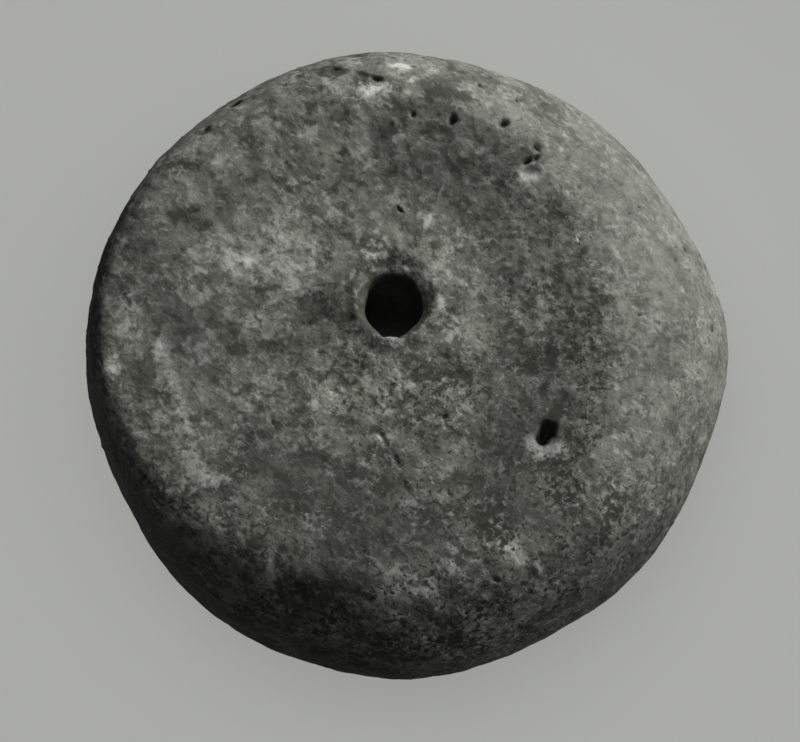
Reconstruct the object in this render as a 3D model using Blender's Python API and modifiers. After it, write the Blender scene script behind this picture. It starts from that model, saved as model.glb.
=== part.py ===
"""Stone spindle whorl: a thick, round-edged stone disc, ground by hand and bored from both faces.

The stone lies on a small flat spot of its underside. Metres, +Z up; the origin is on that flat spot,
under the middle of the outline. Seen from above, +X is to the right and +Y is away from the viewer.
"""

import math

import bmesh
import bpy
from mathutils import Vector

# Driving sizes, in metres
MM = 0.001
BODY_RADIUS = 31.3 * MM  # mean radius of the outline
TOP_RISE = 12.2 * MM  # crest of the upper face, above the widest girth
UNDER_DROP = 11.3 * MM  # flat resting spot, below the widest girth
REST_RADIUS = 14.0 * MM  # flat spot on the underside
UNDER_FULLNESS = 2.2  # 1 is a cone, 2 an ellipse, more is squarer

# The upper flank is full and square on one side and worn to a slope, with a soft arris, on the other
FLANK_FULLNESS = 2.4
FLANK_EXTRA = 6.5
FULL_AZIMUTH = math.radians(188)
FULL_SHARPNESS = 3  # how quickly the full side passes into the rest
FLANK_WORN = 0.6
WORN_AZIMUTH = math.radians(10)
WORN_SHARPNESS = 2

# Upper face: a low lip round the bore, a dished ring and a crest
DISH_DEPTH = 0.85 * MM
LIP_DROP = 0.25 * MM  # how far the lip round the bore stands below the crest
LIP_FRACTION = 0.175  # of the outline's radius
LIP_SHARE = 0.2  # share of the face, from the lip out, over which the dish sets in
CREST_FRACTION = 0.73
# The crest comes nearer the bore and runs off again: (waves, share of the body radius,
# azimuth of a high point in degrees)
CREST_WAVES = (
    (1, -0.055, 20),
    (2, 0.045, 300),
    (3, 0.035, 65),
)

# Bore: two countersinks that meet in a narrow neck
BORE_X = -1.2 * MM
BORE_Y = 2.9 * MM
NECK_RADIUS = 2.9 * MM
THROAT_RADIUS = 3.0 * MM  # where each countersink ends
MOUTH_RADIUS = 3.8 * MM
MOUTH_DEPTH = 0.8 * MM
MOUTH_SHIFT_X = 0.2 * MM  # how far the upper mouth stands off the bore's axis; the lower goes the other way
MOUTH_SHIFT_Y = 0.75 * MM
BORE_STRETCH = 1.15  # the bore is worn a little longer along Y
CUTTER_MARGIN = 1.0 * MM
# Unevenness of the bore: (waves round it, share of its radius, azimuth of a high point in degrees)
BORE_WAVES = ((3, 0.020, 14), (5, 0.026, -18))

# Hand-worked outline: (waves round the edge, height, azimuth of a high point in degrees)
OUTLINE_WAVES = (
    (1, 0.11 * MM, 141),
    (2, 0.04 * MM, -21),
    (3, 0.33 * MM, 13),
    (4, 0.20 * MM, 0),
    (5, 0.06 * MM, 22),
    (6, 0.11 * MM, 59),
    (7, 0.14 * MM, 8),
    (8, 0.16 * MM, 5),
)

# Chips out of the rim: (azimuth in degrees, lift above the girth as a fraction of the rise,
# bite radius, depth)
RIM_CHIPS = (
    (88, 0.55, 5.0 * MM, 0.50 * MM),
    (97, 0.45, 3.0 * MM, 0.45 * MM),
    (124, 0.20, 2.6 * MM, 0.45 * MM),
    (-152, 0.02, 2.2 * MM, 0.40 * MM),
    (-27, 0.10, 2.4 * MM, 0.40 * MM),
)

# Blind pit in the upper face
PIT_X = 13.8 * MM
PIT_Y = -9.8 * MM
PIT_HALF_LENGTH = 1.15 * MM
PIT_HALF_WIDTH = 0.8 * MM
PIT_DEPTH = 1.7 * MM
PIT_TURN = math.radians(45)
PIT_LEAN = math.radians(20)

# Fineness of the facets
TURN_STEPS = 96
BORE_STEPS = 40
FACE_RINGS = 15
FLANK_RINGS = 10
UNDER_RINGS = 9

STONE_COLOUR = (0.115, 0.117, 0.103, 1.0)
STONE_ROUGHNESS = 0.88


def clear_scene():
    for obj in list(bpy.data.objects):
        bpy.data.objects.remove(obj, do_unlink=True)


def new_collection(name):
    collection = bpy.data.collections.new(name)
    bpy.context.scene.collection.children.link(collection)
    return collection


def stone_material():
    material = bpy.data.materials.new("worn grey stone")
    material.use_nodes = True
    shader = material.node_tree.nodes["Principled BSDF"]
    shader.inputs["Base Color"].default_value = STONE_COLOUR
    shader.inputs["Roughness"].default_value = STONE_ROUGHNESS
    shader.inputs["Metallic"].default_value = 0.0
    material.diffuse_color = STONE_COLOUR
    return material


def smooth_step(x):
    x = min(max(x, 0.0), 1.0)
    return x * x * (3.0 - 2.0 * x)


def face_height(fraction):
    """Height of the upper face above the girth: from the lip down into the dish and up to the crest."""
    along = (fraction - LIP_FRACTION) / (CREST_FRACTION - LIP_FRACTION)
    if along <= 0.0:
        return TOP_RISE - LIP_DROP
    lip = LIP_DROP * (1.0 - smooth_step(along))
    dish = DISH_DEPTH * math.sin(math.pi * along ** 0.75) * smooth_step(along / LIP_SHARE)
    return TOP_RISE - lip - dish


def rounded_quarter(steps, fullness):
    """Points (across, up) of a quarter superellipse, from (0, 1) to (1, 0)."""
    points = []
    for step in range(steps + 1):
        angle = 0.5 * math.pi * step / steps
        points.append((math.sin(angle) ** (2.0 / fullness), math.cos(angle)))
    return points


def flank_fraction(crest, across):
    return crest + (1.0 - crest) * across


def turned_profile():
    """(radius, height) down the outer side: upper face, flank, underside, back to the axis."""
    profile = []
    for ring in range(FACE_RINGS):
        fraction = CREST_FRACTION * ring / FACE_RINGS
        profile.append((fraction, face_height(fraction)))
    for across, up in rounded_quarter(FLANK_RINGS, FLANK_FULLNESS):
        profile.append((flank_fraction(CREST_FRACTION, across), TOP_RISE * up))
    rest = REST_RADIUS / BODY_RADIUS
    for across, up in reversed(rounded_quarter(UNDER_RINGS, UNDER_FULLNESS)[:-1]):
        profile.append((rest + (1.0 - rest) * across, -UNDER_DROP * up))
    profile.append((0.5 * rest, -UNDER_DROP))
    profile.append((0.0, -UNDER_DROP))
    return [(fraction * BODY_RADIUS, height + UNDER_DROP) for fraction, height in profile]


def turned_object(name, profile, steps, collection):
    """A Screw of an XZ profile that runs top to bottom at +X, turned into a plain mesh."""
    outline = bpy.data.meshes.new(name + " outline")
    edges = [(index, index + 1) for index in range(len(profile) - 1)]
    outline.from_pydata([(radius, 0.0, height) for radius, height in profile], edges, [])
    blank = bpy.data.objects.new(name + " blank", outline)
    collection.objects.link(blank)
    screw = blank.modifiers.new("Turn", "SCREW")
    screw.steps = steps
    screw.render_steps = steps
    screw.use_merge_vertices = True
    screw.merge_threshold = 0.00002
    screw.use_normal_calculate = False
    bpy.context.view_layer.update()
    depsgraph = bpy.context.evaluated_depsgraph_get()
    mesh = bpy.data.meshes.new_from_object(blank.evaluated_get(depsgraph))
    bpy.data.objects.remove(blank, do_unlink=True)
    obj = bpy.data.objects.new(name, mesh)
    collection.objects.link(obj)
    return obj


def outline_scale(azimuth):
    """Outline's radius at an azimuth, as a share of the mean radius."""
    offset = 0.0
    for waves, height, high_point in OUTLINE_WAVES:
        offset += height * math.cos(waves * (azimuth - math.radians(high_point)))
    return 1.0 + offset / BODY_RADIUS


def crest_fraction(azimuth):
    fraction = CREST_FRACTION
    for waves, height, high_point in CREST_WAVES:
        fraction += height * math.cos(waves * (azimuth - math.radians(high_point)))
    return fraction


def facing(azimuth, side, sharpness):
    """1 towards a side, falling to 0 a quarter turn away from it."""
    return max(0.0, math.cos(azimuth - side)) ** sharpness


def flank_across(azimuth, height):
    """How far across the flank its surface is at a height: 0 at the crest and 1 at the girth."""
    fullness = FLANK_FULLNESS
    fullness += FLANK_EXTRA * facing(azimuth, FULL_AZIMUTH, FULL_SHARPNESS)
    fullness -= FLANK_WORN * facing(azimuth, WORN_AZIMUTH, WORN_SHARPNESS)
    lift = min(1.0, (height - UNDER_DROP) / TOP_RISE)
    return (1.0 - lift ** 2) ** (1.0 / fullness)


def worked_point(point):
    """Where a point of the turned blank ends up once the stone is worked by hand.

    The crest moves towards or away from the bore, the flank below it becomes fuller or flatter, the
    outline gets its slow waves, and the rings near the middle follow the bore, which stands off the
    middle of the outline.
    """
    radius = math.hypot(point.x, point.y)
    azimuth = math.atan2(point.y, point.x)
    fraction = radius / BODY_RADIUS
    if point.z > UNDER_DROP:
        crest = crest_fraction(azimuth)
        if fraction < CREST_FRACTION:
            fraction *= crest / CREST_FRACTION
        else:
            fraction = flank_fraction(crest, flank_across(azimuth, point.z))
    spread = fraction * BODY_RADIUS * (1.0 + (outline_scale(azimuth) - 1.0) * fraction)
    inward = 1.0 - min(fraction, 1.0)
    x = spread * math.cos(azimuth) + BORE_X * inward
    y = spread * math.sin(azimuth) + BORE_Y * inward
    return Vector((x, y, point.z))


def work_by_hand(body):
    for vertex in body.data.vertices:
        vertex.co = worked_point(vertex.co)


def bore_profile():
    """Hourglass cutter: countersink, throat, neck, throat, countersink."""
    top = UNDER_DROP + TOP_RISE - LIP_DROP
    above = top + CUTTER_MARGIN
    below = -CUTTER_MARGIN
    spread = (MOUTH_RADIUS - THROAT_RADIUS) / MOUTH_DEPTH * CUTTER_MARGIN
    return [
        (0.0, above),
        (MOUTH_RADIUS + spread, above),
        (MOUTH_RADIUS, top),
        (THROAT_RADIUS, top - MOUTH_DEPTH),
        (NECK_RADIUS, 0.5 * top),
        (THROAT_RADIUS, MOUTH_DEPTH),
        (MOUTH_RADIUS, 0.0),
        (MOUTH_RADIUS + spread, below),
        (0.0, below),
    ]


def bore_cutter(collection):
    """The hourglass, worn out of round and set on the bore's axis."""
    cutter = turned_object("bore cutter", bore_profile(), BORE_STEPS, collection)
    for vertex in cutter.data.vertices:
        azimuth = math.atan2(vertex.co.y, vertex.co.x)
        wear = 1.0
        for waves, share, high_point in BORE_WAVES:
            wear += share * math.cos(waves * (azimuth - math.radians(high_point)))
        widening = math.hypot(vertex.co.x, vertex.co.y) - THROAT_RADIUS
        widening = min(1.0, max(0.0, widening / (MOUTH_RADIUS - THROAT_RADIUS)))
        if vertex.co.z < UNDER_DROP:
            widening = -widening
        vertex.co.x = BORE_X + vertex.co.x * wear + MOUTH_SHIFT_X * widening
        vertex.co.y = BORE_Y + vertex.co.y * wear * BORE_STRETCH + MOUTH_SHIFT_Y * widening
    return cutter


def ball_cutter(name, centre, half_sizes, turn, lean, collection):
    """An ellipsoid cutter, leaned about its own Y axis and then turned about Z."""
    mesh = bpy.data.meshes.new(name)
    ball = bmesh.new()
    bmesh.ops.create_uvsphere(ball, u_segments=16, v_segments=10, radius=1.0)
    bmesh.ops.scale(ball, vec=half_sizes, verts=ball.verts)
    ball.to_mesh(mesh)
    ball.free()
    cutter = bpy.data.objects.new(name, mesh)
    cutter.location = centre
    cutter.rotation_euler = (0.0, lean, turn)
    collection.objects.link(cutter)
    return cutter


def chip_cutter(number, azimuth, lift, bite, depth, collection):
    """A ball that shaves a shallow chip off the flank, at a height given as a share of the rise."""
    sideways = Vector((math.cos(azimuth), math.sin(azimuth), 0.0))
    start = sideways * BODY_RADIUS
    start.z = UNDER_DROP + lift * TOP_RISE
    outward = sideways * math.sqrt(1.0 - lift ** 2)
    outward.z = lift
    centre = worked_point(start) + outward * (bite - depth)
    return ball_cutter(f"chip cutter {number}", centre, (bite, bite, bite), azimuth, 0.0, collection)


def pit_cutter(collection):
    top = UNDER_DROP + TOP_RISE - DISH_DEPTH
    half_sizes = (PIT_HALF_LENGTH, PIT_HALF_WIDTH, PIT_DEPTH)
    return ball_cutter("pit cutter", (PIT_X, PIT_Y, top), half_sizes, PIT_TURN, PIT_LEAN, collection)


def cut(body, cutter):
    cutter.hide_render = True
    cutter.display_type = "WIRE"
    boolean = body.modifiers.new(cutter.name, "BOOLEAN")
    boolean.operation = "DIFFERENCE"
    boolean.solver = "EXACT"
    boolean.object = cutter


def make_whorl():
    parts = new_collection("stone spindle whorl")
    cutters = new_collection("cutters")
    whorl = turned_object("whorl", turned_profile(), TURN_STEPS, parts)
    work_by_hand(whorl)
    whorl.data.materials.clear()
    whorl.data.materials.append(stone_material())
    whorl.data.shade_smooth()
    cut(whorl, bore_cutter(cutters))
    cut(whorl, pit_cutter(cutters))
    for number, (azimuth, lift, bite, depth) in enumerate(RIM_CHIPS, start=1):
        cut(whorl, chip_cutter(number, math.radians(azimuth), lift, bite, depth, cutters))
    return whorl


clear_scene()
make_whorl()
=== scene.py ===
"""Stone spindle whorl: the worn stone, its pits, chips and pale crust, on a plain pale table.

The whorl lies on its underside, +Z up, at its real size in metres. Every shape is a surface of two
parameters, the place along the whorl's section and the azimuth round it.
"""

import math

import bpy
import numpy as np
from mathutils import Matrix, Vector


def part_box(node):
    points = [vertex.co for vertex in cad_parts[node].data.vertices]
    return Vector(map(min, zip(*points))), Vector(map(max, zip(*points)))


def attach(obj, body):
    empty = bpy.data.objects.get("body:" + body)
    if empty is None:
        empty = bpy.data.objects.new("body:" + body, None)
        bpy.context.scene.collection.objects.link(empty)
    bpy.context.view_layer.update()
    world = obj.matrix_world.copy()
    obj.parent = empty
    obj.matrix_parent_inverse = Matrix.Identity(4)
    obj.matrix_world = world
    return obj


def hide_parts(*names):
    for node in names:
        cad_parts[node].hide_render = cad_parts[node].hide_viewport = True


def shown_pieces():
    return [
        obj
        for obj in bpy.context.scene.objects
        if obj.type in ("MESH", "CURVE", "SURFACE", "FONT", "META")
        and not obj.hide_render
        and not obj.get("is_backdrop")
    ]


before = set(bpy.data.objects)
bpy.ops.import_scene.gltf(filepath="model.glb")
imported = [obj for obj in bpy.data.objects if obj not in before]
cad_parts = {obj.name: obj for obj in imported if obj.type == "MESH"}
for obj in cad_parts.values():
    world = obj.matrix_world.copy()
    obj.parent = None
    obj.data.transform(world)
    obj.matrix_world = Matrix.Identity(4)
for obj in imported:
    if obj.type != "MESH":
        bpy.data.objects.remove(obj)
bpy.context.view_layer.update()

bl_info = {
    "name": "Stone Spindle Whorl",
    "version": (1, 0, 0),
    "blender": (4, 5, 0),
    "location": "View3D > Sidebar > Whorl",
    "description": "Builds a worn stone spindle whorl and a plain studio stage for it",
    "category": "Add Mesh",
}

LOW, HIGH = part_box("whorl")
MM = 0.001
TAU = 2.0 * math.pi

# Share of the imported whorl's height that lies below its widest girth
GIRTH_SHARE = 0.481
# Hand-worked outline: (waves round the edge, height in mm, azimuth of a high point in degrees)
OUTLINE_WAVES = (
    (1, 0.11, 141),
    (2, 0.04, -21),
    (3, 0.33, 13),
    (4, 0.20, 0),
    (5, 0.06, 22),
    (6, 0.11, 59),
    (7, 0.14, 8),
    (8, 0.16, 5),
)
# Unevenness of the bore: (waves round it, share of its radius, azimuth of a high point in degrees)
BORE_WAVES = ((3, 0.020, 14), (5, 0.026, -18))
# The crest comes nearer the bore and runs off again, as (waves round it, share of the body radius,
# azimuth of a high point in degrees)
CREST_WAVES = ((1, -0.055, 20), (2, 0.045, 300), (3, 0.035, 65))


class WhorlForm(bpy.types.PropertyGroup):
    """Driving sizes of the whorl."""

    body_radius: bpy.props.FloatProperty(
        name="Body radius", description="Mean radius of the outline",
        default=31.3 * MM, unit="LENGTH", subtype="DISTANCE")
    rest_radius: bpy.props.FloatProperty(
        name="Resting spot radius", description="Flat spot on the underside",
        default=14.0 * MM, unit="LENGTH", subtype="DISTANCE")
    flank_fullness: bpy.props.FloatProperty(
        name="Flank fullness", description="1 is a cone, 2 an ellipse, more is squarer", default=2.4)
    flank_extra: bpy.props.FloatProperty(
        name="Full side", description="How much squarer the flank is on its full side", default=6.5)
    full_azimuth: bpy.props.FloatProperty(
        name="Full side azimuth", description="Side on which the flank is squarest",
        default=math.radians(188), subtype="ANGLE")
    flank_worn: bpy.props.FloatProperty(
        name="Worn side", description="How much flatter the flank is on its worn side", default=0.6)
    worn_azimuth: bpy.props.FloatProperty(
        name="Worn side azimuth", description="Side on which the flank is worn to a slope",
        default=math.radians(10), subtype="ANGLE")
    under_fullness: bpy.props.FloatProperty(
        name="Underside fullness", description="1 is a cone, 2 an ellipse", default=2.2)
    dish_depth: bpy.props.FloatProperty(
        name="Dish depth", description="How far the ring between the bore's lip and the crest is worn down",
        default=0.85 * MM, unit="LENGTH", subtype="DISTANCE")
    lip_drop: bpy.props.FloatProperty(
        name="Lip drop", description="How far the bore's lip stands below the crest",
        default=0.25 * MM, unit="LENGTH", subtype="DISTANCE")
    crest_fraction: bpy.props.FloatProperty(
        name="Crest place", description="Mean radius of the crest, as a share of the body radius",
        default=0.73, subtype="FACTOR", min=0.3, max=0.95)
    bore_place: bpy.props.FloatVectorProperty(
        name="Bore place", description="Bore axis, from the middle of the outline", size=2,
        default=(-1.2 * MM, 2.9 * MM), unit="LENGTH", subtype="XYZ")
    neck_radius: bpy.props.FloatProperty(
        name="Neck radius", description="Narrowest part of the bore", default=2.5 * MM,
        unit="LENGTH", subtype="DISTANCE")
    throat_radius: bpy.props.FloatProperty(
        name="Throat radius", description="Inner end of each countersink", default=2.8 * MM,
        unit="LENGTH", subtype="DISTANCE")
    mouth_radius: bpy.props.FloatProperty(
        name="Mouth radius", description="Outer edge of each countersink", default=3.8 * MM,
        unit="LENGTH", subtype="DISTANCE")
    mouth_depth: bpy.props.FloatProperty(
        name="Mouth depth", description="Depth of each countersink", default=0.8 * MM,
        unit="LENGTH", subtype="DISTANCE")
    mouth_shift: bpy.props.FloatVectorProperty(
        name="Mouth shift",
        description="How far the upper mouth stands off the bore's axis; the lower one goes the other way",
        size=2, default=(0.2 * MM, 0.75 * MM), unit="LENGTH", subtype="XYZ")
    bore_stretch: bpy.props.FloatProperty(
        name="Bore stretch", description="How much longer the bore is along Y", default=1.16)


class WhorlLooks(bpy.types.PropertyGroup):
    """Colours and relief of the stone."""

    relief: bpy.props.FloatProperty(
        name="Relief", description="Strength of the surface's unevenness", default=1.0, min=0.0, max=3.0)
    stone: bpy.props.FloatVectorProperty(
        name="Stone", description="Main colour of the stone", size=3, subtype="COLOR",
        default=(0.070, 0.071, 0.060), min=0.0, max=1.0)
    contrast: bpy.props.FloatProperty(
        name="Contrast", description="How much the stone's mottling darkens and lightens it",
        default=1.0, min=0.0, max=3.0)
    crust: bpy.props.FloatVectorProperty(
        name="Crust", description="Pale deposit left in the hollows", size=3, subtype="COLOR",
        default=(0.185, 0.188, 0.170), min=0.0, max=1.0)
    chalk: bpy.props.FloatVectorProperty(
        name="Chalk", description="Fresh pale stone where the crust is broken off", size=3, subtype="COLOR",
        default=(0.255, 0.255, 0.235), min=0.0, max=1.0)
    # Painted light: the paler, even colour painted on the side towards the key and side lights
    painted_lit: bpy.props.FloatVectorProperty(
        name="Rubbed", description="Even colour that the rubbed side tends to", size=3, subtype="COLOR",
        default=(0.118, 0.120, 0.105), min=0.0, max=1.0)
    # Painted light: how much paler the side towards the key and side lights is painted, and where that side
    # is
    lit_side_paleness: bpy.props.FloatProperty(
        name="Abraded side", description="How much paler the stone is on its rubbed side", default=0.10)
    lit_side_azimuth: bpy.props.FloatProperty(
        name="Abraded azimuth", description="Middle of the rubbed side",
        default=math.radians(12), subtype="ANGLE")
    gritty_azimuth: bpy.props.FloatProperty(
        name="Gritty azimuth", description="Side on which the dark specks are thickest",
        default=math.radians(-62), subtype="ANGLE")
    stain: bpy.props.FloatVectorProperty(
        name="Stain", description="Dark dirt in pores and smudges", size=3, subtype="COLOR",
        default=(0.020, 0.020, 0.015), min=0.0, max=1.0)


class StageSettings(bpy.types.PropertyGroup):
    """Floor, lights and camera."""

    floor_colour: bpy.props.FloatVectorProperty(
        name="Floor", description="Plain pale table", size=3, subtype="COLOR",
        default=(0.60, 0.61, 0.575), min=0.0, max=1.0)
    camera_distance: bpy.props.FloatProperty(
        name="Camera distance", description="From the middle of the whorl", default=0.6,
        unit="LENGTH", subtype="DISTANCE")
    camera_elevation: bpy.props.FloatProperty(
        name="Camera elevation", description="Above the table", default=math.radians(74), subtype="ANGLE")
    field_width: bpy.props.FloatProperty(
        name="Field width", description="Width of the picture at the whorl", default=79.2 * MM,
        unit="LENGTH", subtype="DISTANCE")
    key_power: bpy.props.FloatProperty(
        name="Key light", description="Soft light from the upper right", default=6.2, subtype="POWER")
    key_azimuth: bpy.props.FloatProperty(
        name="Key azimuth", description="Where the key stands, from +X towards +Y",
        default=math.radians(54), subtype="ANGLE")
    key_elevation: bpy.props.FloatProperty(
        name="Key elevation", description="Above the table", default=math.radians(26), subtype="ANGLE")
    side_power: bpy.props.FloatProperty(
        name="Side light", description="Weak light from the right", default=1.3, subtype="POWER")
    side_azimuth: bpy.props.FloatProperty(
        name="Side azimuth", description="Where the side light stands, from +X towards +Y",
        default=math.radians(2), subtype="ANGLE")
    side_elevation: bpy.props.FloatProperty(
        name="Side elevation", description="Above the table", default=math.radians(18), subtype="ANGLE")


# ---------------------------------------------------------------- noise on whole arrays

def lattice_number(cell, seed):
    """A repeatable number in 0..1 for each whole-numbered lattice point: its coordinates are mixed bit
    by bit."""
    mixed = np.full(cell.shape[0], (seed * 0x9E3779B1) & 0xFFFFFFFF, np.uint64)
    for axis, prime in enumerate((0x8DA6B343, 0xD8163841, 0xCB1AB31F)):
        mixed ^= (cell[:, axis].astype(np.int64) * prime).astype(np.uint64) & np.uint64(0xFFFFFFFF)
        mixed = (mixed ^ (mixed >> np.uint64(15))) * np.uint64(0x2C1B3C6D) & np.uint64(0xFFFFFFFF)
        mixed = (mixed ^ (mixed >> np.uint64(12))) * np.uint64(0x297A2D39) & np.uint64(0xFFFFFFFF)
    mixed ^= mixed >> np.uint64(15)
    return mixed.astype(np.float64) / 4294967295.0


CUBE_CORNERS = [np.array((i, j, k)) for i in (0, 1) for j in (0, 1) for k in (0, 1)]


def gradient_noise(points, pitch, seed):
    """Smooth noise, about -1..1: at each corner of a cubic lattice a random slope times the way to it,
    mixed across the cell with the ease 6t^5 - 15t^4 + 10t^3."""
    scaled = points / pitch + 137.0
    cell = np.floor(scaled).astype(np.int64)
    within = scaled - cell
    ease = within ** 3 * (within * (within * 6.0 - 15.0) + 10.0)
    total = np.zeros(len(points))
    for corner in CUBE_CORNERS:
        at = cell + corner
        slope = np.stack([lattice_number(at, seed * 3 + axis) * 2.0 - 1.0 for axis in range(3)], axis=1)
        share = np.prod(np.where(corner == 1, ease, 1.0 - ease), axis=1)
        total += share * np.sum(slope * (within - corner), axis=1)
    return total * 1.6


def layered_noise(points, pitch, layers, seed, falloff=0.5):
    """Sum of gradient noise at pitch, pitch/2, pitch/4 and so on, each layer falloff times as high."""
    total = np.zeros(len(points))
    height = 1.0
    for layer in range(layers):
        total += height * gradient_noise(points, pitch / 2 ** layer, seed + 17 * layer)
        height *= falloff
    return total


def ease_between(low, high, values):
    """0 below low, 1 above high, and the cubic 3t^2 - 2t^3 between them."""
    t = np.clip((values - low) / (high - low), 0.0, 1.0)
    return t * t * (3.0 - 2.0 * t)


def scattered_pits(points, pitch, radius, share, seed):
    """0..1 depth of round pits. A share of the lattice's cells hold one pit each, at a random spot and
    with a random radius; inside it the depth is (1 - d^2)^1.5, d being the distance in pit radii."""
    scaled = points / pitch + 71.0
    home = np.floor(scaled).astype(np.int64)
    depth = np.zeros(len(points))
    for step in np.ndindex(3, 3, 3):
        cell = home + np.array(step) - 1
        spot = np.stack([lattice_number(cell, seed * 5 + axis) for axis in range(3)], axis=1)
        size = radius * (0.45 + 0.75 * lattice_number(cell, seed * 5 + 3) ** 2) / pitch
        present = lattice_number(cell, seed * 5 + 4) < share
        squared = np.sum((scaled - cell - spot) ** 2, axis=1) / size ** 2
        depth = np.maximum(depth, np.where(present, np.clip(1.0 - squared, 0.0, 1.0) ** 1.5, 0.0))
    return depth


# ---------------------------------------------------------------- the section and its rings

def wave_sum(azimuth, waves):
    """Sum of height times cos(n (azimuth - high point)) over the waves (n, height, high point)."""
    total = np.zeros_like(azimuth)
    for count, height, high_point in waves:
        total += height * np.cos(count * (azimuth - math.radians(high_point)))
    return total


def ring_at(form, azimuth, fraction):
    """A ring round the body: fraction times the outline's radius, its centre that much nearer the bore."""
    reach = form.body_radius + wave_sum(azimuth, OUTLINE_WAVES) * MM * fraction
    x = fraction * reach * np.cos(azimuth) + form.bore_place[0] * (1.0 - fraction)
    y = fraction * reach * np.sin(azimuth) + form.bore_place[1] * (1.0 - fraction)
    return np.stack([x, y], axis=1)


def bore_ring(form, azimuth, radius, side=1.0):
    """A ring round the bore's axis: an oval with a few low waves. In the mouths it stands off the axis, one
    way in the upper (side 1) and the other way in the lower (side -1)."""
    reach = radius * (1.0 + wave_sum(azimuth, BORE_WAVES))
    widening = (radius - form.throat_radius) / (form.mouth_radius - form.throat_radius)
    shift = side * np.clip(widening, 0.0, 1.0)
    x = form.bore_place[0] + reach * np.cos(azimuth) + form.mouth_shift[0] * shift
    y = form.bore_place[1] + reach * np.sin(azimuth) * form.bore_stretch + form.mouth_shift[1] * shift
    return np.stack([x, y], axis=1)


def crest_ring(form, azimuth):
    return ring_at(form, azimuth, form.crest_fraction + wave_sum(azimuth, CREST_WAVES))


def blended(inner, outer, share):
    return inner * (1.0 - share) + outer * share


def placed(plan, height):
    return np.column_stack([plan, np.broadcast_to(height, len(plan))])


LIP_MARGIN = 0.9 * MM  # the countersink's surface runs on this far past the mouth's edge
EDGE_SOFTNESS = 0.10 * MM  # rounding of the mouth's edge
# Low ridge round the upper mouth, highest on one side
RIDGE_HEIGHT = 0.26 * MM
RIDGE_RADIUS = 4.05 * MM
RIDGE_WIDTH = 0.60 * MM
RIDGE_AZIMUTH = math.radians(235)


def countersink_fall(form, radius):
    """Depth below the lip: the wall's slope times the softened distance inside the mouth,
    softness times ln(1 + exp(distance / softness))."""
    slope = form.mouth_depth / (form.mouth_radius - form.throat_radius)
    inside = (form.mouth_radius - radius) / EDGE_SOFTNESS
    return slope * EDGE_SOFTNESS * np.logaddexp(0.0, inside)


def lip_ridge(form, plan):
    """Height of the ridge: exp(-((r - ridge radius) / width)^2), r measured as if the bore were round."""
    x = plan[:, 0] - form.bore_place[0] - form.mouth_shift[0]
    y = (plan[:, 1] - form.bore_place[1] - form.mouth_shift[1]) / form.bore_stretch
    reach = np.hypot(x, y) / (1.0 + wave_sum(np.arctan2(y, x), BORE_WAVES))
    side = 0.6 + 0.4 * np.cos(np.arctan2(y, x) - RIDGE_AZIMUTH)
    return RIDGE_HEIGHT * side * np.exp(-((reach - RIDGE_RADIUS) / RIDGE_WIDTH) ** 2)


def bore_wall(form, along, azimuth, top, middle):
    """Up the bore, from the lower throat to the upper one: radius neck + (throat - neck) h^2, h being
    the height from the middle of the bore as a share of half its length."""
    low = countersink_fall(form, form.throat_radius)
    high = top - low
    level = along * 2.0 - 1.0
    radius = form.neck_radius + (form.throat_radius - form.neck_radius) * level ** 2
    return placed(bore_ring(form, azimuth, radius), low + (high - low) * along)


def upper_mouth(form, along, azimuth, top, middle):
    """Out over the upper countersink, from the throat to just past its edge."""
    radius = form.throat_radius + (form.mouth_radius + LIP_MARGIN - form.throat_radius) * along
    return placed(bore_ring(form, azimuth, radius), top - countersink_fall(form, radius))


def upper_face(form, along, azimuth, top, middle):
    """From the bore's lip to the crest: straight between the two rings in plan; in height the lip's drop
    fades out and the dish goes down by its depth times sin(pi s^0.75), eased in past the lip."""
    inner = bore_ring(form, azimuth, form.mouth_radius + LIP_MARGIN)
    lip = form.lip_drop * ease_between(0.0, 1.0, along)
    dish = form.dish_depth * np.sin(math.pi * along ** 0.75) * ease_between(0.0, 0.2, along)
    return placed(blended(inner, crest_ring(form, azimuth), along), top + lip - dish)


def upper_flank(form, along, azimuth, top, middle):
    """From the crest to the girth: a quarter superellipse (sin a)^(2/fullness) across, cos a up."""
    turn = 0.5 * math.pi * along
    full_side = np.clip(np.cos(azimuth - form.full_azimuth), 0.0, 1.0) ** 3
    worn_side = np.clip(np.cos(azimuth - form.worn_azimuth), 0.0, 1.0) ** 2
    fullness = form.flank_fullness + form.flank_extra * full_side - form.flank_worn * worn_side
    across = (math.sin(turn) ** (2.0 / fullness))[:, None]
    plan = blended(crest_ring(form, azimuth), ring_at(form, azimuth, 1.0), across)
    return placed(plan, middle + (top + form.lip_drop - middle) * math.cos(turn))


def lower_flank(form, along, azimuth, top, middle):
    """From the girth to the resting spot: the same kind of quarter, turned down."""
    turn = 0.5 * math.pi * (1.0 - along)
    across = math.sin(turn) ** (2.0 / form.under_fullness)
    rest = ring_at(form, azimuth, form.rest_radius / form.body_radius)
    return placed(blended(rest, ring_at(form, azimuth, 1.0), across), middle * (1.0 - math.cos(turn)))


def resting_spot(form, along, azimuth, top, middle):
    """The flat spot, from its edge in to the lower mouth."""
    rest = ring_at(form, azimuth, form.rest_radius / form.body_radius)
    inner = bore_ring(form, azimuth, form.mouth_radius + LIP_MARGIN, -1.0)
    return placed(blended(rest, inner, along), 0.0)


def lower_mouth(form, along, azimuth, top, middle):
    """In over the lower countersink, from just past its edge to the throat."""
    radius = form.mouth_radius + LIP_MARGIN + (form.throat_radius - form.mouth_radius - LIP_MARGIN) * along
    return placed(bore_ring(form, azimuth, radius, -1.0), countersink_fall(form, radius))


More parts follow.
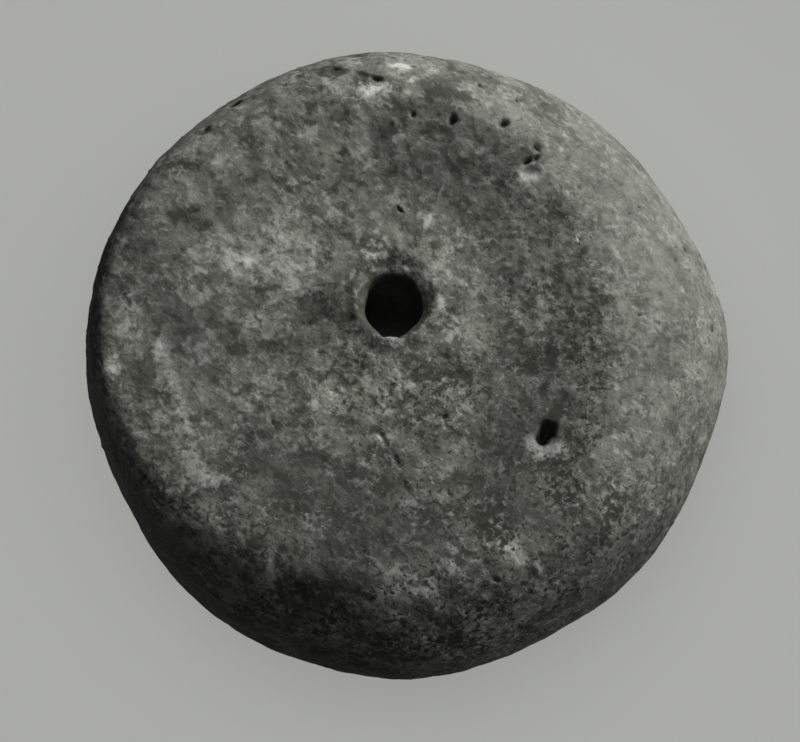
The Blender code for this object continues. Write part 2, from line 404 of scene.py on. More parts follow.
# Zones of the section in order, each with its ring spacing in mm and the azimuth steps of its rings
ZONES = (
    (bore_wall, 0.60, ((0.0, 88),)),
    (upper_mouth, 0.17, ((0.0, 88), (0.55, 176))),
    (upper_face, 0.26, ((0.0, 176), (0.20, 352), (0.68, 704))),
    (upper_flank, 0.27, ((0.0, 704),)),
    (lower_flank, 0.50, ((0.0, 352),)),
    (resting_spot, 0.55, ((0.0, 176),)),
    (lower_mouth, 0.40, ((0.0, 88),)),
)


def section_rings(form, top, middle):
    """Every ring of the section as a list of point arrays, evenly spaced within each zone on the mean of
    four sides."""
    rings = []
    probe = np.arange(4) * 0.5 * math.pi
    for zone, spacing, steps in ZONES:
        fine = np.linspace(0.0, 1.0, 400)
        track = np.stack([zone(form, along, probe, top, middle) for along in fine])
        stride = np.linalg.norm(np.diff(track, axis=0), axis=2).mean(axis=1)
        walked = np.concatenate([[0.0], np.cumsum(stride)])
        count = max(2, round(walked[-1] / (spacing * MM)))
        for along in np.interp(np.arange(count) * walked[-1] / count, walked, fine):
            number = [n for start, n in steps if along >= start][-1]
            azimuth = np.arange(number) * TAU / number
            rings.append(zone(form, float(along), azimuth, top, middle))
    return rings


def band_faces(first, second, count_a, count_b):
    """Triangles between two closed rings whose first points have these indices. The rings have equal
    numbers of points, or one has twice as many as the other."""
    if count_a == count_b:
        a = np.arange(count_a)
        b = (a + 1) % count_a
        return np.concatenate([
            np.stack([first + a, first + b, second + b], axis=1),
            np.stack([first + a, second + b, second + a], axis=1),
        ])
    if count_a > count_b:
        return band_faces(second, first, count_b, count_a)[:, ::-1]
    a = np.arange(count_a)
    b = (a + 1) % count_a
    left, mid, right = 2 * a, 2 * a + 1, (2 * a + 2) % count_b
    return np.concatenate([
        np.stack([first + a, second + mid, second + left], axis=1),
        np.stack([first + a, first + b, second + mid], axis=1),
        np.stack([first + b, second + right, second + mid], axis=1),
    ])


def ring_body(rings):
    """Points and outward triangles of a closed body from rings that run round its section."""
    counts = [len(ring) for ring in rings]
    starts = np.concatenate([[0], np.cumsum(counts)[:-1]])
    faces = []
    for index, count in enumerate(counts):
        after = (index + 1) % len(rings)
        faces.append(band_faces(starts[index], starts[after], count, counts[after]))
    return np.concatenate(rings), np.concatenate(faces)


def point_normals(points, faces):
    """Outward direction at each point: the sum of its triangles' area-weighted normals, made unit length."""
    corners = points[faces]
    across = np.cross(corners[:, 1] - corners[:, 0], corners[:, 2] - corners[:, 0])
    normals = np.zeros_like(points)
    for axis in range(3):
        for corner in range(3):
            normals[:, axis] += np.bincount(faces[:, corner], across[:, axis], minlength=len(points))
    return normals / np.linalg.norm(normals, axis=1, keepdims=True)


# ---------------------------------------------------------------- wear

# Marks on the upper side: (x, y, half length, half width, turn in degrees, strength), in mm in plan.
# Holes, slits, nicks and grooves, the strength being their depth in mm
PITS = (
    # the deep slanting hole
    (13.7, -9.9, 1.15, 1.00, 30, 1.9),
    (13.2, -10.5, 0.85, 0.75, 0, 1.4),
    # round pores
    (4.6, 21.5, 0.70, 0.48, 32, 0.65),
    (9.7, 21.2, 0.75, 0.55, 15, 0.65),
    (0.7, 22.3, 0.34, 0.28, 0, 0.35),
    (7.4, 25.4, 0.40, 0.28, -20, 0.40),
    (8.4, 26.8, 0.32, 0.26, 0, 0.30),
    (3.7, -8.5, 0.32, 0.28, 0, 0.45),
    (-12.2, -4.6, 0.26, 0.24, 0, 0.30),
    (-12.9, -9.1, 0.28, 0.26, 0, 0.30),
    (4.2, -16.2, 0.30, 0.50, 0, 0.35),
    (8.7, -24.8, 0.35, 0.30, 0, 0.40),
    (2.4, -28.2, 0.50, 0.40, 0, 0.50),
    (30.0, 2.0, 0.55, 0.50, 0, 0.50),
    (22.8, 1.8, 0.30, 0.26, 0, 0.35),
    (22.2, 12.6, 0.38, 0.26, 30, 0.35),
    (23.0, 13.6, 0.38, 0.26, 80, 0.35),
    (23.6, 14.6, 0.32, 0.26, 20, 0.30),
    (0.8, 27.5, 0.30, 0.26, 0, 0.40),
    # slits
    (11.0, 23.9, 0.60, 0.25, 25, 0.40),
    (-0.5, 12.6, 0.42, 0.25, -30, 0.50),
    (26.5, 8.4, 0.60, 0.25, 60, 0.35),
    (26.6, 10.0, 0.50, 0.25, 70, 0.35),
    (27.5, 9.9, 0.60, 0.25, 70, 0.40),
    (29.0, 10.9, 1.40, 0.35, 80, 0.50),
    # ragged chip
    (13.0, 18.7, 0.70, 0.35, -40, 0.45),
    (12.1, 17.2, 0.80, 0.42, 20, 0.50),
    (12.9, 17.6, 0.50, 0.32, 60, 0.40),
    # cleft and notches along the rim
    (-6.4, 26.95, 1.40, 0.60, -6, 0.34),
    (-4.3, 26.4, 1.30, 0.55, -26, 0.40),
    (-2.9, 26.0, 0.75, 0.45, -30, 0.55),
    (-7.0, 27.0, 0.90, 0.60, 10, 0.40),
    (-16.7, 23.8, 0.95, 0.50, 40, 0.70),
    (-19.6, 20.8, 0.75, 0.32, 50, 0.60),
    (-26.7, -15.2, 1.00, 0.55, -60, 0.60),
    (26.9, -14.7, 0.90, 0.50, 50, 0.50),
    (24.8, -17.9, 0.80, 0.45, 50, 0.50),
    (19.5, -23.7, 0.80, 0.42, 35, 0.40),
    # hooked groove and long scratch
    (-2.3, -10.3, 1.60, 0.30, -55, 0.26),
    (-0.9, -12.6, 1.60, 0.30, -64, 0.28),
    (0.0, -15.1, 1.60, 0.30, -74, 0.26),
    (2.7, 13.2, 2.60, 0.30, 67, 0.14),
)
# Clean shallow chips, the strength being their depth in mm
CHIPS = (
    (13.1, -11.0, 1.90, 1.60, 20, 0.45),
    (12.1, 16.3, 1.20, 0.70, 10, 0.25),
    (-2.7, 25.2, 2.00, 0.80, 25, 0.20),
    (-0.2, 27.9, 1.60, 0.60, 0, 0.25),
)
# Paler, with crust on them
PALE = (
    # broken edge of the deep hole
    (12.2, -11.0, 0.55, 0.90, 20, 1.8),
    (13.2, -12.0, 1.10, 0.75, -10, 2.1),
    (14.6, -11.5, 0.55, 0.75, -30, 2.1),
    (13.9, -11.2, 0.40, 0.30, 0, 2.0),
    # crumbs round the bore's lip; those along its upper crest are also a painted highlight where the lip is
    # lit
    (1.9, 5.8, 0.75, 0.32, -35, 2.4),
    (0.3, 6.7, 0.55, 0.30, -20, 1.8),
    (-0.9, 7.0, 0.40, 0.25, 0, 1.4),
    (-5.1, 5.7, 0.55, 0.35, 50, 1.8),
    (-2.4, 7.9, 1.80, 0.28, 0, 1.3),
    (3.6, 3.0, 0.80, 0.60, 80, 1.2),
    (4.6, 0.2, 0.90, 0.60, 60, 1.2),
    (2.2, -1.6, 1.30, 0.50, 20, 1.2),
    # facets at the rim, edge of the ragged chip
    (-0.4, 27.6, 1.60, 0.60, 0, 2.3),
    (-2.6, 24.9, 2.20, 0.80, 25, 1.6),
    (-7.0, 25.2, 2.00, 0.80, -10, 0.6),
    (12.3, 16.0, 1.35, 0.80, 10, 1.8),
    (10.9, 18.8, 0.90, 0.50, 30, 1.0),
    # long scratch and hooked groove
    (3.5, 14.5, 1.90, 0.22, 68, 1.3),
    (2.2, 11.4, 1.40, 0.28, 66, 2.0),
    (-2.7, -10.5, 1.50, 0.22, -55, 1.3),
    (-1.4, -12.8, 1.50, 0.22, -64, 1.3),
    # curls and patches towards the near edge
    (-1.4, -24.8, 1.60, 1.00, 0, 0.4),
    (1.0, -26.6, 1.60, 0.80, 0, 0.5),
    (-2.6, -23.2, 0.90, 0.28, -50, 1.9),
    (-1.2, -24.0, 1.00, 0.28, 30, 1.9),
    (0.3, -24.6, 1.00, 0.28, -20, 1.6),
    (-0.6, -25.6, 1.30, 0.30, 45, 2.2),
    (-2.4, -26.3, 1.00, 0.34, 60, 2.4),
    (1.2, -26.0, 1.00, 0.30, 10, 1.7),
    (-3.8, -26.9, 0.80, 0.40, -30, 2.3),
    (2.4, -25.4, 0.90, 0.30, 60, 2.0),
    (-1.0, -28.0, 0.70, 0.34, -50, 2.0),
    (3.0, -27.3, 0.80, 0.25, 80, 1.3),
    (10.2, -21.9, 1.50, 0.90, 70, 0.9),
    (9.3, -21.2, 1.50, 0.30, -65, 1.7),
    (10.3, -22.0, 1.60, 0.34, -65, 2.0),
    (11.2, -22.7, 1.20, 0.30, -60, 1.5),
    (-5.8, -22.7, 0.70, 0.40, 0, 0.8),
    (3.1, -19.9, 0.60, 0.40, 0, 0.8),
    (4.5, -23.6, 0.80, 0.45, -35, 2.4),
    (-12.9, -23.6, 1.60, 0.35, 85, 2.2),
    # left side
    (-18.2, -14.3, 2.00, 0.90, -20, 1.7),
    (-21.0, -12.2, 1.30, 0.70, -40, 1.1),
    (-24.2, -1.6, 1.60, 0.40, 80, 1.5),
    (-23.2, -2.4, 1.20, 0.40, 130, 1.5),
    (-22.3, -5.8, 2.20, 0.55, 115, 1.4),
    (-21.4, -9.0, 1.60, 0.55, 105, 1.1),
    (-28.2, -3.8, 2.20, 0.90, 100, 1.1),
    (-27.2, -0.2, 2.20, 0.80, 92, 1.0),
    (-9.0, 7.6, 1.60, 0.30, 88, 1.3),
    (-15.1, 7.6, 2.60, 0.80, 5, 0.4),
    (-13.6, 8.9, 6.00, 4.00, 30, 0.5),
    # round the bore
    (4.4, 0.8, 1.80, 1.60, 90, 0.7),
    (-6.7, -7.9, 0.90, 0.28, 0, 0.9),
    (3.9, -9.3, 0.38, 0.30, 0, 1.2),
    # single spots
    (18.3, -7.1, 0.60, 0.50, 0, 1.0),
    (5.9, 9.8, 0.38, 0.32, 0, 1.0),
    (5.4, 9.0, 0.34, 0.28, 0, 0.9),
    (12.4, 12.5, 1.30, 0.30, -50, 0.8),
)
# Darker, with stain on them; the broad one inside the crest on the right is painted shade instead
DARK = (
    (2.5, 20.8, 1.60, 0.80, 15, 1.0),
    (6.5, 17.3, 2.70, 1.20, 5, 0.9),
    (-1.0, 19.8, 1.50, 1.40, 0, 0.7),
    (5.2, 23.9, 1.20, 0.70, 0, 1.8),
    (-5.2, 26.6, 2.60, 0.70, -16, 0.9),
    (3.6, 24.6, 1.60, 0.80, 20, 1.0),
    (-6.2, 2.2, 2.20, 1.40, -10, 1.0),
    (-16.0, -13.4, 1.40, 1.30, 0, 2.0),
    (8.4, -26.0, 1.00, 0.80, 0, 0.8),
    # painted shade on the crest's inner slope on the right, which faces away from the key light
    (15.5, 0.2, 3.00, 8.00, 0, 0.4),
    (14.5, -8.4, 0.90, 0.60, 70, 1.6),
    (15.6, -10.2, 0.50, 0.90, 0, 1.0),
)
# Broad paler (positive) and darker (negative) areas. Some of them are painted light rather than the stone's
# own
#  colour: those on the left flank and along the near edge stand in for light on an edge rounder than this
#      one,
#  and two paler ones on the bore's upper lip are a painted highlight where the lip is lit.
TONES = (
    (-13.0, 7.5, 6.0, 4.5, 20, 0.35),
    (-10.0, 5.0, 3.0, 2.5, 0, 0.20),
    (-2.0, -4.9, 5.5, 2.3, 0, 0.90),
    (-5.5, -5.8, 3.0, 2.2, 0, 0.62),
    (5.0, -5.5, 3.0, 2.0, 0, 0.20),
    (-4.5, -18.0, 7.0, 6.0, 0, -0.48),
    (-14.0, -12.5, 4.5, 3.5, 0, -0.42),
    (10.5, -12.5, 5.5, 7.0, 0, -0.40),
    (-7.0, -25.5, 5.5, 3.0, 0, -0.50),
    (12.5, -19.5, 4.5, 3.5, 0, -0.25),
    (-10.5, -15.5, 4.0, 3.0, 0, -0.25),
    (-20.0, 14.5, 3.0, 3.0, 0, -0.28),
    (10.0, -9.5, 3.0, 3.0, 0, -0.20),
    (14.5, -5.0, 2.5, 2.5, 0, -0.25),
    (25.0, 0.0, 3.0, 5.0, 0, -0.20),
    (5.0, 16.0, 4.0, 3.0, 0, -0.15),
    (-21.6, -2.2, 3.2, 5.0, 0, -0.32),
    (2.0, -21.5, 7.0, 3.5, 0, -0.35),
    (15.0, -6.0, 4.0, 4.0, 0, -0.15),
    (3.0, 17.0, 5.0, 3.5, 0, -0.25),
    (-21.5, 2.0, 4.0, 4.5, 0, -0.28),
    (-3.0, 1.5, 4.5, 3.0, 0, -0.20),
    # painted highlight on the lit upper lip of the bore
    (0.0, 7.2, 3.5, 1.6, 0, 0.55),
    (-3.5, 25.5, 6.5, 2.5, 0, 0.30),
    (15.0, 12.5, 3.0, 3.5, 0, 0.30),
    (22.0, 3.0, 5.0, 6.0, 0, 0.15),
    (-21.0, 18.0, 5.0, 4.5, 0, 0.22),
    (-29.5, -3.0, 2.5, 5.0, 0, 0.25),
    (-29.5, -9.5, 6.5, 5.5, 110, 0.50),
    (-27.4, -9.8, 7.5, 1.9, 109, 0.70),
    (-24.0, -16.6, 4.5, 1.9, 125, 0.60),
    (-14.6, 23.0, 5.0, 2.6, 30, -0.24),
    (-7.0, 22.8, 3.0, 1.8, -15, 0.24),
    (0.0, 23.8, 2.2, 1.5, 0, 0.18),
    (-19.0, 10.0, 4.5, 4.0, 0, -0.16),
    (-6.0, -2.5, 2.5, 2.5, 0, 0.30),
    # painted highlight on the lit upper lip of the bore
    (1.4, 6.6, 2.2, 1.2, 0, 0.40),
    (24.0, -6.5, 3.0, 3.5, 0, -0.12),
    (23.5, 3.2, 3.0, 2.5, 0, -0.12),
    (22.5, -17.0, 2.8, 2.4, 0, -0.14),
    (19.0, -23.0, 2.5, 2.0, 0, 0.20),
    (6.1, -27.3, 2.4, 1.4, 0, 0.30),
    (-17.4, -21.4, 2.8, 2.0, 0, -0.25),
    (0.5, -26.0, 3.8, 2.4, 0, 0.05),
    (10.5, -22.0, 2.4, 2.0, 0, 0.10),
    (14.5, -25.0, 2.5, 2.5, 0, 0.30),
    (-26.5, 10.0, 5.0, 3.5, 110, -0.14),
    (29.5, -5.0, 2.5, 5.0, 0, 0.30),
    (23.0, 17.0, 5.5, 6.5, 0, -0.25),
    (4.0, -29.8, 9.0, 3.6, 0, 0.75),
    (26.0, 9.5, 6.0, 9.0, 0, -0.12),
)


def mark_places(points, normals, marks, middle):
    """Each mark's middle on the stone, the nearest upper point in plan, and its long direction laid
    along the surface there."""
    above = np.flatnonzero(points[:, 2] > middle)
    for x, y, half_length, half_width, turn, strength in marks:
        aside = points[above, :2] - np.array((x, y)) * MM
        nearest = above[np.argmin(np.sum(aside ** 2, axis=1))]
        angle = math.radians(turn)
        along = np.array((math.cos(angle), math.sin(angle), 0.0))
        along -= normals[nearest] * np.dot(normals[nearest], along)
        yield points[nearest], along / np.linalg.norm(along), half_length * MM, half_width * MM, strength


def mark_distances(points, normals, marks, middle):
    """Squared distance from each mark's middle in its own half sizes, with the mark's strength."""
    for place, along, half_length, half_width, strength in mark_places(points, normals, marks, middle):
        away = points - place
        lengthwise = away @ along
        crosswise = np.maximum(np.sum(away ** 2, axis=1) - lengthwise ** 2, 0.0)
        yield (lengthwise / half_length) ** 2 + crosswise / half_width ** 2, strength


def hollows(points, normals, marks, middle):
    """Depth in mm of round-bottomed hollows: strength times (1 - d^2)^1.5 inside each mark."""
    depth = np.zeros(len(points))
    for squared, strength in mark_distances(points, normals, marks, middle):
        depth = np.maximum(depth, strength * np.clip(1.0 - squared, 0.0, 1.0) ** 1.5)
    return depth


def soft_patches(points, normals, marks, middle):
    """Sum of soft patches: strength times exp(-d^2) round each mark."""
    cover = np.zeros(len(points))
    for squared, strength in mark_distances(points, normals, marks, middle):
        cover += strength * np.exp(-squared)
    return cover


# The side towards the key and side lights is painted paler and evener, as painted light, from this share of
# the body radius outwards, fully from the second
LIT_SIDE_FROM = 0.58
LIT_SIDE_FULL = 0.74
# Thickness of the specks: its mean, how much it sways round the face, the share taken off where the side
# towards the lamps is painted paler (painted light)
GRIT_MEAN = 0.68
GRIT_SWAY = 0.60
GRIT_LIT_SIDE_OFF = 0.55


def worn_stone(form, looks, points, faces, middle):
    """The smooth body with its wear: returns the points and the per-point covers that the material reads.

    Height in mm along the normal is the sum of long swells, worn unevenness and shallow pits; the marks'
    hollows go straight down. Tone is 1 plus the broad areas and a paler side towards the key and side
    lights, which is painted light; a second cover is how far that side is painted evener, also painted
    light, and grit is how thick the specks lie, thickest at the gritty azimuth and thinner on that painted
    lit side. The hollows' cover is painted shade, darker with each pit's depth and down the bore.
    """
    normals = point_normals(points, faces)
    rest = ease_between(0.2 * MM, 1.6 * MM, points[:, 2])
    above = ease_between(middle - 5.0 * MM, middle, points[:, 2])
    shake = np.stack([gradient_noise(points, 0.9 * MM, seed) for seed in (41, 42, 43)], axis=1)
    ragged = points + 0.22 * MM * shake
    swell = 0.14 * gradient_noise(points, 13.0 * MM, 1) + 0.10 * gradient_noise(points, 6.0 * MM, 2)
    worn = 0.085 * gradient_noise(points, 3.0 * MM, 3) + 0.065 * gradient_noise(points, 1.6 * MM, 4)
    worn += 0.050 * gradient_noise(points, 0.9 * MM, 6)
    small = scattered_pits(ragged, 1.6 * MM, 0.45 * MM, 0.25, 5)
    pits = hollows(ragged, normals, PITS, middle)
    chips = hollows(ragged, normals, CHIPS, middle)
    from_bore = np.hypot(points[:, 0] - form.bore_place[0], points[:, 1] - form.bore_place[1])
    lip = np.exp(-((from_bore - form.mouth_radius) / (1.2 * MM)) ** 2)
    worn_lip = 0.10 * lip * gradient_noise(points, 0.7 * MM, 7)
    height = (swell + worn + worn_lip - 0.16 * small) * looks.relief
    moved = points + normals * (height * rest * MM)[:, None]
    moved[:, 2] += (lip_ridge(form, points[:, :2]) - (pits + chips) * MM) * above
    mottle = layered_noise(ragged, 3.2 * MM, 3, 8, 0.7)
    pale = soft_patches(ragged, normals, PALE, middle)
    dark = soft_patches(ragged, normals, DARK, middle)
    azimuth = np.arctan2(points[:, 1], points[:, 0])
    # Painted light: from the crest outwards, the side towards the key and side lights is painted paler and
    # evener, with fewer specks
    facing_lamps = np.clip(np.cos(azimuth - looks.lit_side_azimuth), 0.0, 1.0) ** 1.5
    reach = np.hypot(points[:, 0], points[:, 1]) / form.body_radius
    painted_lit = facing_lamps * ease_between(LIT_SIDE_FROM, LIT_SIDE_FULL, reach)
    tone = 1.0 + soft_patches(points, normals, TONES, middle) + looks.lit_side_paleness * painted_lit
    # Painted shade down the bore: darkening from just outside the throat inwards
    inside = ease_between(form.throat_radius + 0.4 * MM, form.throat_radius, from_bore / form.bore_stretch)
    sway = np.clip(1.5 * reach, 0.0, 1.0) * np.cos(azimuth - looks.gritty_azimuth)
    grit = (GRIT_MEAN + GRIT_SWAY * sway) * (1.0 - GRIT_LIT_SIDE_OFF * painted_lit)
    return moved, {
        "crust": np.clip(0.55 * mottle + pale, -1.0, 2.2),
        "stain": np.clip(0.8 * layered_noise(ragged, 2.6 * MM, 3, 9, 0.7) + dark, -1.0, 1.5),
        # Painted shade in the hollows: darker with the small pits, with each mark's depth and down the bore
        "painted_hollow_shade": np.clip(small * 0.5 + pits * 2.2 + 0.7 * inside, 0.0, 1.0),
        "tone": tone,
        "painted_lit": painted_lit,
        "grit": grit,
    }


# ---------------------------------------------------------------- meshes and materials

def surface_mesh(name, points, faces, cover):
    """A smooth-shaded mesh object at the origin, with one float attribute for each cover."""
    mesh = bpy.data.meshes.new(name)
    mesh.from_pydata(points, [], faces)
    mesh.shade_smooth()
    for label, values in cover.items():
        attribute = mesh.attributes.new(label, "FLOAT", "POINT")
        attribute.data.foreach_set("value", values.astype(np.float32))
    mesh.validate()
    obj = bpy.data.objects.new(name, mesh)
    bpy.context.scene.collection.objects.link(obj)
    return obj


class NodeBench:
    """Short calls for laying out a material's nodes."""

    def __init__(self, name):
        self.material = bpy.data.materials.new(name)
        self.material.use_nodes = True
        self.tree = self.material.node_tree
        self.shader = self.tree.nodes["Principled BSDF"]

    def put(self, target, value):
        if isinstance(value, bpy.types.NodeSocket):
            self.tree.links.new(value, target)
        else:
            target.default_value = value

    def add(self, kind, settings=(), **inputs):
        node = self.tree.nodes.new(kind)
        for key, value in dict(settings).items():
            setattr(node, key, value)
        for key, value in inputs.items():
            self.put(node.inputs[key.replace("_", " ")], value)
        return node

    def attribute(self, name):
        return self.add("ShaderNodeAttribute", {"attribute_name": name}).outputs["Fac"]

    def noise(self, vector, size, detail, roughness=0.5, distortion=0.0):
        node = self.add("ShaderNodeTexNoise", Vector=vector, Scale=1.0 / size, Detail=detail,
                        Roughness=roughness, Distortion=distortion)
        return node.outputs["Fac"]

    def slanted(self, vector, angle, stretch):
        """Coordinates in which everything runs stretch times as long along a direction in plan."""
        node = self.add("ShaderNodeMapping", {"vector_type": "TEXTURE"}, Vector=vector)
        node.inputs["Rotation"].default_value = (0.0, 0.0, angle)
        node.inputs["Scale"].default_value = (stretch, 1.0, 1.0)
        return node.outputs["Vector"]

    def scaled(self, value, gain):
        """1 + gain (value - 0.5), never below 0.15."""
        node = self.tree.nodes.new("ShaderNodeMapRange")
        for socket, number in zip(node.inputs[:5], (value, 0.5 - 0.85 / gain, 1.0, 0.15, 1.0 + 0.5 * gain)):
            self.put(socket, number)
        return node.outputs["Result"]

    def spread(self, value, low, high, to_low=0.0, to_high=1.0):
        node = self.tree.nodes.new("ShaderNodeMapRange")
        node.interpolation_type = "SMOOTHSTEP"
        if isinstance(low, float) and low > high:
            low, high, to_low, to_high = high, low, to_high, to_low
        for socket, number in zip(node.inputs[:5], (value, low, high, to_low, to_high)):
            self.put(socket, number)
        return node.outputs["Result"]

    def sum(self, operation, *values):
        node = self.tree.nodes.new("ShaderNodeMath")
        node.operation = operation
        for socket, value in zip(node.inputs, values):
            self.put(socket, value)
        return node.outputs["Value"]

    def mix(self, share, first, second, blend="MIX"):
        node = self.tree.nodes.new("ShaderNodeMix")
        node.data_type = "RGBA"
        node.blend_type = blend
        self.put(node.inputs[0], share)
        self.put(node.inputs[6], first)
        self.put(node.inputs[7], second)
        return node.outputs[2]

    def bump(self, height, distance, strength, normal=None):
        node = self.add("ShaderNodeBump", Height=height, Distance=distance, Strength=strength)
        if normal is not None:
            self.put(node.inputs["Normal"], normal)
        return node.outputs["Normal"]


def solid(colour):
    return (colour[0], colour[1], colour[2], 1.0)


# Both surfaces are matt
MATT = 0.9
WEAK_GLOSS = 0.2
MOTTLE_GAIN = 4.2  # how strongly the mottling multiplies the stone's colour
EVENING = 0.37  # share of the even colour painted on the side towards the lamps, which is painted light


def stone_material(looks):
    """Worn grey stone: slanting mottled grain, pale strokes thickest in the crust, dark specks, painted
    shade in the pores, pits and bore, and a paler, evener painted light on the side towards the lamps.

    The mottling noise multiplies the stone's colour; its coordinates are stretched along one slanting
    direction and warped, so its patches run like short fibres.
    """
    bench = NodeBench("worn grey stone")
    place = bench.add("ShaderNodeTexCoord").outputs["Object"]
    slant = bench.slanted(place, math.radians(-38), 1.2)
    mottle = bench.noise(slant, 3.2 * MM, 6.0, 0.74, 0.15)
    blotch = bench.noise(slant, 1.0 * MM, 3.0, 0.65, 0.25)
    stroke = bench.noise(slant, 0.85 * MM, 3.0, 0.65, 0.40)
    speck = bench.noise(place, 0.45 * MM, 1.0, 0.5, 0.3)
    dots = bench.noise(place, 0.60 * MM, 2.5, 0.60, 0.4)
    clusters = bench.noise(slant, 4.0 * MM, 2.0, 0.5)
    crust = bench.attribute("crust")
    gain = bench.scaled(mottle, MOTTLE_GAIN * looks.contrast)
    colour = bench.mix(1.0, solid(looks.stone), gain, "MULTIPLY")
    crusted = bench.sum("MULTIPLY_ADD", crust, 0.20, stroke)
    colour = bench.mix(bench.spread(crusted, 0.48, 0.80), colour, solid(looks.crust))
    chalky = bench.sum("MULTIPLY_ADD", crust, 0.50, blotch)
    colour = bench.mix(bench.spread(chalky, 0.95, 1.35), colour, solid(looks.chalk))
    colour = bench.mix(1.0, colour, bench.attribute("tone"), "MULTIPLY")
    grit = bench.attribute("grit")
    stained = bench.sum("MULTIPLY_ADD", bench.attribute("stain"), -0.20, blotch)
    stained = bench.sum("MULTIPLY_ADD", crust, 0.12, stained)
    worn = bench.sum("MULTIPLY", bench.spread(stained, 0.50, 0.25), 0.9)
    colour = bench.mix(worn, colour, solid(looks.stain))
    # Painted light: the side towards the lamps is mixed towards a paler, even colour
    evened = bench.sum("MULTIPLY", bench.attribute("painted_lit"), EVENING)
    colour = bench.mix(evened, colour, solid(looks.painted_lit))
    flecks = bench.sum("MULTIPLY_ADD", crust, 0.10, bench.noise(slant, 0.55 * MM, 2.0, 0.6, 0.5))
    flecks = bench.sum("MULTIPLY_ADD", blotch, 0.40, flecks)
    flecked = bench.sum("MULTIPLY", bench.spread(flecks, 0.76, 0.98), grit)
    fleck_colour = bench.mix(1.0, solid(looks.crust), bench.attribute("tone"), "MULTIPLY")
    colour = bench.mix(flecked, colour, fleck_colour)
    crowded = bench.sum("MULTIPLY_ADD", clusters, -0.7, dots)
    dotted = bench.sum("MULTIPLY", bench.spread(crowded, 0.15, -0.05), grit)
    colour = bench.mix(dotted, colour, solid(looks.stain))
    gathered = bench.sum("MULTIPLY_ADD", blotch, 0.30, speck)
    specked = bench.sum("MULTIPLY", bench.spread(gathered, 0.58, 0.34), grit)
    colour = bench.mix(specked, colour, solid(looks.stain))
    # Painted shade in the pits, small pits and bore, in the stain colour
    colour = bench.mix(bench.attribute("painted_hollow_shade"), colour, solid(looks.stain))
    bench.put(bench.shader.inputs["Base Color"], colour)
    bench.shader.inputs["Roughness"].default_value = MATT
    bench.shader.inputs["Specular IOR Level"].default_value = WEAK_GLOSS
    rough = bench.bump(stroke, 0.07 * MM, 0.6)
    rough = bench.bump(speck, 0.08 * MM, 0.5, rough)
    rough = bench.bump(dots, 0.10 * MM, 0.5, rough)
    bench.put(bench.shader.inputs["Normal"], rough)
    return bench.material


def plain_material(name, colour, roughness):
    bench = NodeBench(name)
    bench.shader.inputs["Base Color"].default_value = solid(colour)
    bench.shader.inputs["Roughness"].default_value = roughness
    bench.shader.inputs["Specular IOR Level"].default_value = WEAK_GLOSS
    return bench.material


# ---------------------------------------------------------------- operators

TABLE_HALF = 1.5  # half the table's side, in metres
LIGHT_DISTANCE = 0.5  # of the key and side lights from the whorl's middle, in metres
KEY_SIZE = 0.26
SIDE_SIZE = 0.3
FILL_OFFSET = Vector((0.0, -0.2, 0.7))
FILL_SIZE = 0.4
FILL_POWER = 0.9
TABLE_LIGHT_OFFSET = Vector((0.0, 0.0, 1.2))
TABLE_LIGHT_SIZE = 1.6
TABLE_LIGHT_POWER = 11.9
TABLE_FILL_POWER = 1.65
WORLD_STRENGTH = 0.015
SENSOR_WIDTH = 36.0
# How far the camera's target lies to the left of the whorl's middle, and below it
CAMERA_LEFT = 0.5 * MM
CAMERA_DOWN = 0.66 * MM


class WHORL_OT_stone(bpy.types.Operator):
    """Build the worn stone of the whorl in place of its plain solid"""

    bl_idname = "whorl.stone"
    bl_label = "Build the stone"

    def execute(self, context):
        form = context.scene.whorl_form
        looks = context.scene.whorl_looks
        middle = LOW.z + (HIGH.z - LOW.z) * GIRTH_SHARE
        top = HIGH.z - form.lip_drop
        points, faces = ring_body(section_rings(form, top, middle))
        points, cover = worn_stone(form, looks, points, faces, middle)
        stone = surface_mesh("whorl_stone", points, faces, cover)
        stone.data.materials.append(stone_material(looks))
        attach(stone, "root")
        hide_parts("whorl")
        print("whorl_stone triangles", len(faces))
        return {"FINISHED"}


def aim(obj, target):
    obj.rotation_euler = (Vector(target) - obj.location).to_track_quat("-Z", "Y").to_euler()


def direction(azimuth, elevation):
    flat = math.cos(elevation)
    return Vector((flat * math.cos(azimuth), flat * math.sin(azimuth), math.sin(elevation)))


def area_light(name, place, target, size, power):
    data = bpy.data.lights.new(name, "AREA")
    data.shape = "DISK"
    data.size = size
    data.energy = power
    light = bpy.data.objects.new(name, data)
    light.location = place
    bpy.context.scene.collection.objects.link(light)
    aim(light, target)
    return light


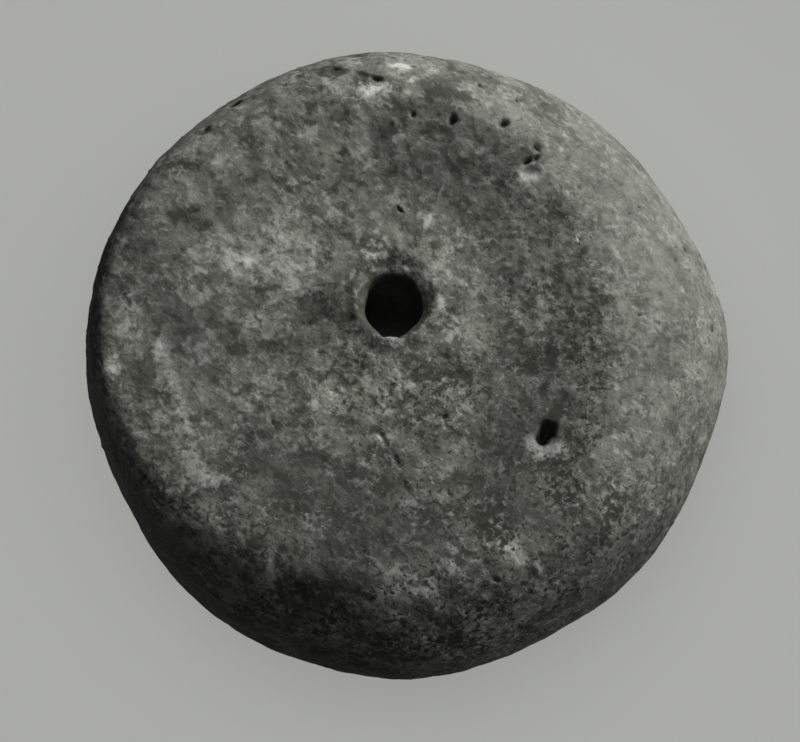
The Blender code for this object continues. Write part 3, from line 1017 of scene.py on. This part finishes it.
class WHORL_OT_stage(bpy.types.Operator):
    """Add the plain table, the lights and the camera"""

    bl_idname = "whorl.stage"
    bl_label = "Set the stage"

    def execute(self, context):
        stage = context.scene.whorl_stage
        scene = context.scene
        mesh = bpy.data.meshes.new("table")
        half = TABLE_HALF
        corners = [(-half, -half, 0), (half, -half, 0), (half, half, 0), (-half, half, 0)]
        mesh.from_pydata(corners, [], [(0, 1, 2, 3)])
        table = bpy.data.objects.new("table", mesh)
        mesh.materials.append(plain_material("pale table", stage.floor_colour, MATT))
        scene.collection.objects.link(table)
        table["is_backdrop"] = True
        table.visible_diffuse = False

        centre = Vector((0.0, 0.0, 0.5 * HIGH.z))
        key_place = centre + direction(stage.key_azimuth, stage.key_elevation) * LIGHT_DISTANCE
        key = area_light("key light", key_place, centre, KEY_SIZE, stage.key_power)
        side_place = centre + direction(stage.side_azimuth, stage.side_elevation) * LIGHT_DISTANCE
        side = area_light("side light", side_place, centre, SIDE_SIZE, stage.side_power)
        fill = area_light("fill light", centre + FILL_OFFSET, centre, FILL_SIZE, FILL_POWER)
        overhead = centre + TABLE_LIGHT_OFFSET
        top = area_light("table light", overhead, centre, TABLE_LIGHT_SIZE, TABLE_LIGHT_POWER)
        soft = area_light("table fill light", overhead, centre, TABLE_LIGHT_SIZE, TABLE_FILL_POWER)

        lit_by_key = bpy.data.collections.new("lit by the key")
        lit_by_top = bpy.data.collections.new("lit from above")
        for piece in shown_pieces():
            lit_by_key.objects.link(piece)
        lit_by_top.objects.link(table)
        key.light_linking.receiver_collection = lit_by_key
        side.light_linking.receiver_collection = lit_by_key
        fill.light_linking.receiver_collection = lit_by_key
        top.light_linking.receiver_collection = lit_by_top
        top.light_linking.blocker_collection = lit_by_top
        soft.light_linking.receiver_collection = lit_by_top

        world = bpy.data.worlds.new("studio")
        world.use_nodes = True
        world.node_tree.nodes["Background"].inputs["Color"].default_value = (1.0, 1.0, 1.0, 1.0)
        world.node_tree.nodes["Background"].inputs["Strength"].default_value = WORLD_STRENGTH
        scene.world = world
        scene.view_settings.view_transform = "Standard"

        data = bpy.data.cameras.new("camera")
        data.sensor_width = SENSOR_WIDTH
        data.lens = data.sensor_width * stage.camera_distance / stage.field_width
        data.clip_start = 0.01
        camera = bpy.data.objects.new("camera", data)
        view = direction(math.radians(-90), stage.camera_elevation)
        right = Vector((1.0, 0.0, 0.0))
        up = view.cross(right)
        target = centre - right * CAMERA_LEFT - up * CAMERA_DOWN
        camera.location = target + view * stage.camera_distance
        aim(camera, target)
        scene.collection.objects.link(camera)
        scene.camera = camera
        return {"FINISHED"}


class WHORL_PT_panel(bpy.types.Panel):
    """Sizes, colours and build buttons of the whorl"""

    bl_idname = "WHORL_PT_panel"
    bl_label = "Stone Spindle Whorl"
    bl_space_type = "VIEW_3D"
    bl_region_type = "UI"
    bl_category = "Whorl"

    def draw(self, context):
        layout = self.layout
        for group in (context.scene.whorl_form, context.scene.whorl_looks, context.scene.whorl_stage):
            box = layout.box()
            for name in group.bl_rna.properties.keys():
                if name not in ("rna_type", "name"):
                    box.prop(group, name)
        layout.operator(WHORL_OT_stone.bl_idname)
        layout.operator(WHORL_OT_stage.bl_idname)


CLASSES = (WhorlForm, WhorlLooks, StageSettings, WHORL_OT_stone, WHORL_OT_stage, WHORL_PT_panel)


def register():
    for cls in CLASSES:
        bpy.utils.register_class(cls)
    bpy.types.Scene.whorl_form = bpy.props.PointerProperty(type=WhorlForm)
    bpy.types.Scene.whorl_looks = bpy.props.PointerProperty(type=WhorlLooks)
    bpy.types.Scene.whorl_stage = bpy.props.PointerProperty(type=StageSettings)


def unregister():
    del bpy.types.Scene.whorl_stage
    del bpy.types.Scene.whorl_looks
    del bpy.types.Scene.whorl_form
    for cls in reversed(CLASSES):
        bpy.utils.unregister_class(cls)


def main():
    register()
    bpy.ops.whorl.stone()
    bpy.ops.whorl.stage()
    bpy.context.view_layer.update()


if __name__ == "__main__":
    main()
